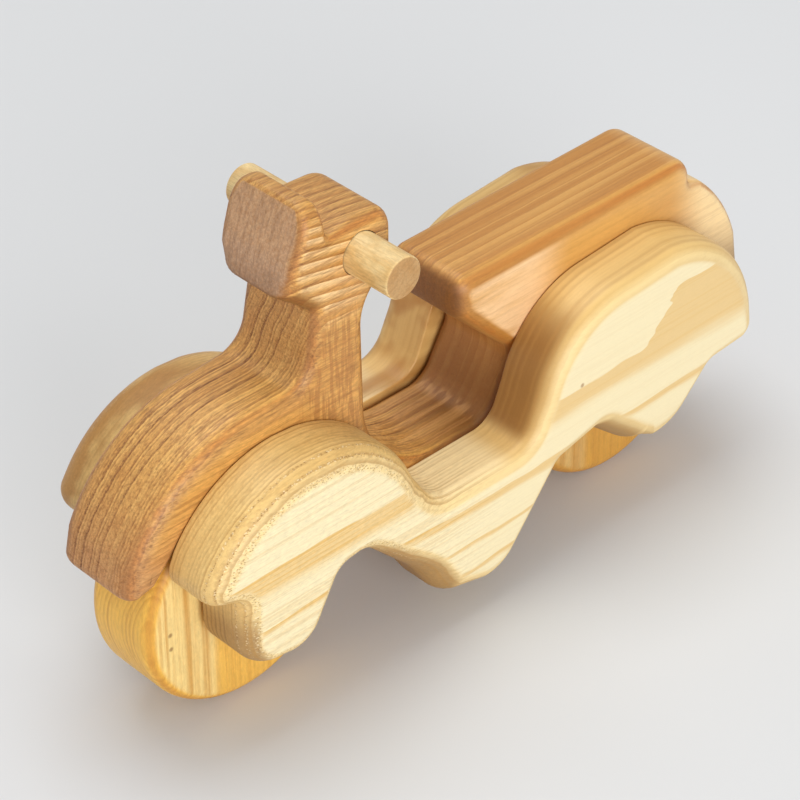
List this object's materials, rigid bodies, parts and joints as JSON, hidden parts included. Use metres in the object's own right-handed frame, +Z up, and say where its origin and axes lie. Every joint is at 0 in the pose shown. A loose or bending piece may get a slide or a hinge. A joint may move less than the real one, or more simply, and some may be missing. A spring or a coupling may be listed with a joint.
{
  "type": "wooden toy scooter",
  "caption": "Wooden toy motor scooter: one shaped centre board with fender, column, seat and tail, lobed side panels, turning wooden wheels and a dowel handlebar.",
  "frame": {"origin": "on the ground under the middle of the scooter's length and width", "axes": "+X forward, +Y to the rider's left, +Z up"},
  "size_m": [0.2318, 0.066, 0.1425],
  "materials": {
    "reddish_centre_wood": "sanded and oiled reddish brown wood",
    "pale_panel_wood": "sanded and oiled pale wood",
    "honey_wheel_wood": "sanded and oiled honey coloured wood",
    "pale_dowel_wood": "sanded pale dowel"
  },
  "bodies": {
    "body": {"centre_board": "reddish_centre_wood", "left_side_panel": "pale_panel_wood", "right_side_panel": "pale_panel_wood", "front_axle": "pale_dowel_wood", "rear_axle": "pale_dowel_wood", "handlebar": "pale_dowel_wood"},
    "front_wheel": {"front_wheel": "honey_wheel_wood"},
    "rear_wheel": {"rear_wheel": "honey_wheel_wood"}
  },
  "joints": [
    {"name": "front_wheel_spin", "type": "hinge", "parent": "body", "child": "front_wheel", "pos_m": [0.07483, 0, 0.0338], "axis": [0, 1, 0], "continuous": true},
    {"name": "rear_wheel_spin", "type": "hinge", "parent": "body", "child": "rear_wheel", "pos_m": [-0.06577, 0, 0.0338], "axis": [0, 1, 0], "continuous": true}
  ]
}
